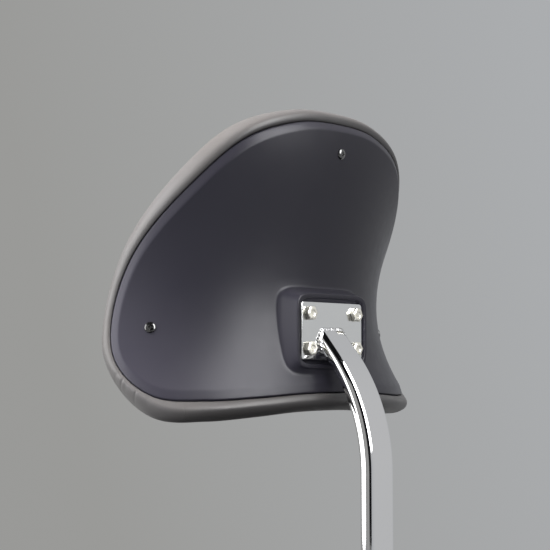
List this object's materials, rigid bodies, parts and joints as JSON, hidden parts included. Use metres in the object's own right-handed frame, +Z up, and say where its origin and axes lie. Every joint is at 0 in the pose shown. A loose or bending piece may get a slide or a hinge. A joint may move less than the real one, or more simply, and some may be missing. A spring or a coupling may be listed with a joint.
{
  "type": "salon chair back support",
  "caption": "Saddle-curved padded back rest with a moulded rear shell on a bent flat-oval steel bar that slides in a clamped height receiver.",
  "frame": {"origin": "centre of the bracket's four bolt holes, on the bracket's top face", "axes": "+Z up along the bar's leg, -Y the way the sitter faces, +X to the left of somebody who stands behind the back rest and looks at it"},
  "size_m": [0.4006, 0.2333, 0.5899],
  "materials": {
    "vinyl": "taupe grey upholstery vinyl, fine grain, soft sheen",
    "foam": "moulded foam",
    "plywood": "bent plywood",
    "zinc_steel": "zinc plated",
    "insert_brass": "plain",
    "shell_plastic": "satin charcoal moulding with a very fine grain",
    "black_screw": "glossy black",
    "plate_chrome": "polished chrome",
    "bolt_zinc": "bright zinc",
    "weld_chrome": "chrome over an uneven weld",
    "bar_chrome": "polished chrome",
    "black_plastic": "matte",
    "black_paint": "semi-gloss black powder coat",
    "nylon": "grey nylon",
    "knob_plastic": "matte grained black"
  },
  "bodies": {
    "receiver": {"bracket_plate": "black_paint", "bracket_gussets": "black_paint", "bracket_weld": "black_paint", "receiver_sleeve": "black_paint", "sleeve_liner": "nylon", "weld_nut": "zinc_steel"},
    "back": {"vinyl_cover": "vinyl", "foam_cushion": "foam", "inner_board": "plywood", "staples": "zinc_steel", "tee_nuts": "zinc_steel", "screw_inserts": "insert_brass", "spacer_block": "plywood", "back_shell": "shell_plastic", "shell_screws": "black_screw", "mount_plate": "plate_chrome", "hex_bolts": "bolt_zinc", "weld_bead": "weld_chrome", "support_bar": "bar_chrome", "bar_end_cap": "black_plastic", "bar_stop_pin": "zinc_steel"},
    "clamp_tip": {"clamp_pad": "insert_brass"},
    "knob": {"knob_stem": "zinc_steel", "knob_grip": "knob_plastic", "knob_cap": "nylon"}
  },
  "joints": [
    {"name": "bar_slide", "type": "slide", "parent": "receiver", "child": "back", "axis": [0, 0, 1], "range_m": [-0.045, 0.045]},
    {"name": "clamp_travel", "type": "slide", "parent": "receiver", "child": "clamp_tip", "axis": [0, 1, 0], "range_m": [0, 0.0026]},
    {"name": "knob_turn", "type": "hinge", "parent": "clamp_tip", "child": "knob", "pos_m": [0, 0.09, -0.022], "axis": [0, 1, 0], "range_deg": [0, 720]}
  ],
  "couplings": [
    {"joint": "clamp_travel", "follows": "knob_turn", "m_per_rad": 0.00019894}
  ]
}
